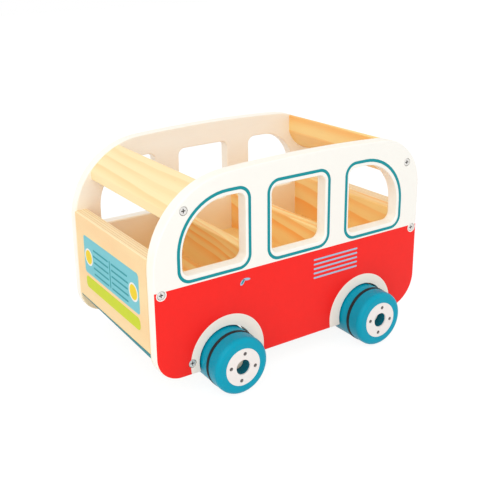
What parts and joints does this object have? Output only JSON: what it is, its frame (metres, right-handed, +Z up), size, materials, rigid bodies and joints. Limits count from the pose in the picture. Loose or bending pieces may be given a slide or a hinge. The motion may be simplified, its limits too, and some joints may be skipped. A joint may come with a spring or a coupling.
{
  "type": "toy_bus",
  "caption": "Open-roofed wooden toy bus with painted side panels, pine cabin boards and turned blue wheels on free-rolling axles",
  "frame": {"origin": "on the floor under the middle of the bus", "axes": "+Z up, -Y towards the front of the bus, X across it"},
  "size_m": [0.2, 0.26, 0.1734],
  "materials": {
    "painted_board": "board printed red below and white above, satin",
    "plywood": "clear-sealed pine plywood",
    "pine": "clear-sealed solid pine",
    "zinc_screws": "zinc plated",
    "dowel": "plain turned dowel",
    "blue_wheel": "glossy blue paint on turned wood",
    "black_rubber": "matt black rubber",
    "pale_hub": "satin off-white"
  },
  "bodies": {
    "body": {"side_panel_right": "painted_board", "side_panel_left": "painted_board", "front_panel": "plywood", "rear_panel": "plywood", "front_roof_plank": "pine", "rear_roof_plank": "pine", "floor_board": "pine", "front_seat_back": "pine", "middle_seat_back": "pine", "rear_seat_back": "pine", "front_axle_block": "pine", "rear_axle_block": "pine", "front_crossbar": "pine", "rear_crossbar": "pine", "roof_plank_screws": "zinc_screws", "end_panel_screws": "zinc_screws", "crossbar_screws": "zinc_screws"},
    "front_wheel_set": {"front_axle": "dowel", "front_wheel_right": "blue_wheel", "front_grip_ring_right": "black_rubber", "front_hub_disc_right": "pale_hub", "front_wheel_left": "blue_wheel", "front_grip_ring_left": "black_rubber", "front_hub_disc_left": "pale_hub"},
    "rear_wheel_set": {"rear_axle": "dowel", "rear_wheel_right": "blue_wheel", "rear_grip_ring_right": "black_rubber", "rear_hub_disc_right": "pale_hub", "rear_wheel_left": "blue_wheel", "rear_grip_ring_left": "black_rubber", "rear_hub_disc_left": "pale_hub"}
  },
  "joints": [
    {"name": "front_axle_turn", "type": "hinge", "parent": "body", "child": "front_wheel_set", "pos_m": [0, -0.0692, 0.0236], "axis": [1, 0, 0], "continuous": true},
    {"name": "rear_axle_turn", "type": "hinge", "parent": "body", "child": "rear_wheel_set", "pos_m": [0, 0.0692, 0.0236], "axis": [1, 0, 0], "continuous": true}
  ]
}
